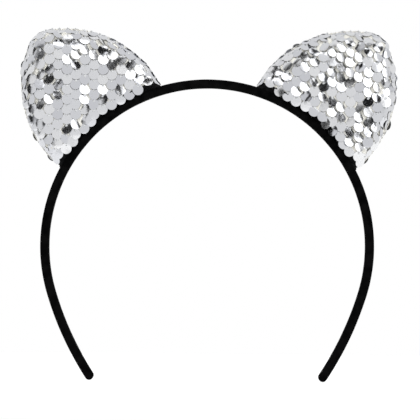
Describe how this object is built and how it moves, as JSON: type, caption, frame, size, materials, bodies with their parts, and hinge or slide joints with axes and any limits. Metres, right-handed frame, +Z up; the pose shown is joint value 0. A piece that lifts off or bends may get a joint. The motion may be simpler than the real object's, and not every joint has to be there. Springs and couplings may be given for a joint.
{
  "type": "animal ears headband",
  "caption": "Springy C-shaped headband in a black velvet sleeve, with two padded cat ears covered in hanging silver sequins; the arms spring open and the ears tilt.",
  "frame": {"origin": "centre of the circle that the band lies on round the wearer's head, in the middle of the band's width (mount head_seat)", "axes": "+X to the right seen from the front, +Z up towards the ears, and the front of the ears faces -Y; left and right are as seen from the front"},
  "size_m": [0.1744, 0.0146, 0.1619],
  "materials": {
    "black_velvet": "short matte velvet pile",
    "lining_felt": "matte brushed lining cloth",
    "strip_felt": "matte felt",
    "black_thread": "twisted sewing thread",
    "core_plastic": "moulded",
    "wadding": "soft polyester wadding",
    "net_cloth": "fine knitted backing cloth",
    "seam_tape": "woven tape",
    "silver_sequin": "silver metallised film, mirror-like with a satin spread"
  },
  "bodies": {
    "crown": {"crown_core": "core_plastic", "crown_cover": "black_velvet", "crown_lining": "lining_felt"},
    "left_shoulder": {"left_shoulder_core": "core_plastic", "left_shoulder_cover": "black_velvet", "left_shoulder_lining": "lining_felt", "left_ear_strip": "strip_felt", "left_ear_stitches": "black_thread"},
    "left_arm": {"left_arm_core": "core_plastic", "left_arm_cover": "black_velvet", "left_arm_lining": "lining_felt"},
    "left_tip": {"left_tip_core": "core_plastic", "left_tip_cover": "black_velvet", "left_tip_lining": "lining_felt"},
    "left_ear": {"left_ear_hem": "strip_felt", "left_ear_padding": "wadding", "left_ear_front_cloth": "net_cloth", "left_ear_back_cloth": "net_cloth", "left_ear_seam": "seam_tape", "left_ear_front_sequins": "silver_sequin", "left_ear_back_sequins": "silver_sequin"},
    "right_shoulder": {"right_shoulder_core": "core_plastic", "right_shoulder_cover": "black_velvet", "right_shoulder_lining": "lining_felt", "right_ear_strip": "strip_felt", "right_ear_stitches": "black_thread"},
    "right_arm": {"right_arm_core": "core_plastic", "right_arm_cover": "black_velvet", "right_arm_lining": "lining_felt"},
    "right_tip": {"right_tip_core": "core_plastic", "right_tip_cover": "black_velvet", "right_tip_lining": "lining_felt"},
    "right_ear": {"right_ear_hem": "strip_felt", "right_ear_padding": "wadding", "right_ear_front_cloth": "net_cloth", "right_ear_back_cloth": "net_cloth", "right_ear_seam": "seam_tape", "right_ear_front_sequins": "silver_sequin", "right_ear_back_sequins": "silver_sequin"}
  },
  "joints": [
    {"name": "left_flex_top", "type": "hinge", "parent": "crown", "child": "left_shoulder", "pos_m": [-0.01608, 0, 0.07228], "axis": [0, 1, 0], "range_deg": [0, 4], "stiffness_Nm_per_rad": 9},
    {"name": "left_flex_mid", "type": "hinge", "parent": "left_shoulder", "child": "left_arm", "pos_m": [-0.06789, 0, 0.02958], "axis": [0, 1, 0], "range_deg": [0, 6]},
    {"name": "left_flex_low", "type": "hinge", "parent": "left_arm", "child": "left_tip", "pos_m": [-0.07081, 0, -0.02165], "axis": [0, 1, 0], "range_deg": [0, 4]},
    {"name": "left_ear_tilt", "type": "hinge", "parent": "left_shoulder", "child": "left_ear", "pos_m": [-0.0493, 0, 0.0598], "axis": [0.7716, 0, 0.6361], "range_deg": [-15, 15], "stiffness_Nm_per_rad": 0.06},
    {"name": "right_flex_top", "type": "hinge", "parent": "crown", "child": "right_shoulder", "pos_m": [0.01608, 0, 0.07228], "axis": [0, -1, 0], "range_deg": [0, 4], "stiffness_Nm_per_rad": 9},
    {"name": "right_flex_mid", "type": "hinge", "parent": "right_shoulder", "child": "right_arm", "pos_m": [0.06789, 0, 0.02958], "axis": [0, -1, 0], "range_deg": [0, 6]},
    {"name": "right_flex_low", "type": "hinge", "parent": "right_arm", "child": "right_tip", "pos_m": [0.07081, 0, -0.02165], "axis": [0, -1, 0], "range_deg": [0, 4]},
    {"name": "right_ear_tilt", "type": "hinge", "parent": "right_shoulder", "child": "right_ear", "pos_m": [0.0493, 0, 0.0598], "axis": [0.7716, 0, -0.6361], "range_deg": [-15, 15], "stiffness_Nm_per_rad": 0.06}
  ],
  "couplings": [
    {"joint": "left_flex_mid", "follows": "left_flex_top", "ratio": 1.5},
    {"joint": "left_flex_low", "follows": "left_flex_top", "ratio": 1},
    {"joint": "right_flex_mid", "follows": "right_flex_top", "ratio": 1.5},
    {"joint": "right_flex_low", "follows": "right_flex_top", "ratio": 1}
  ]
}
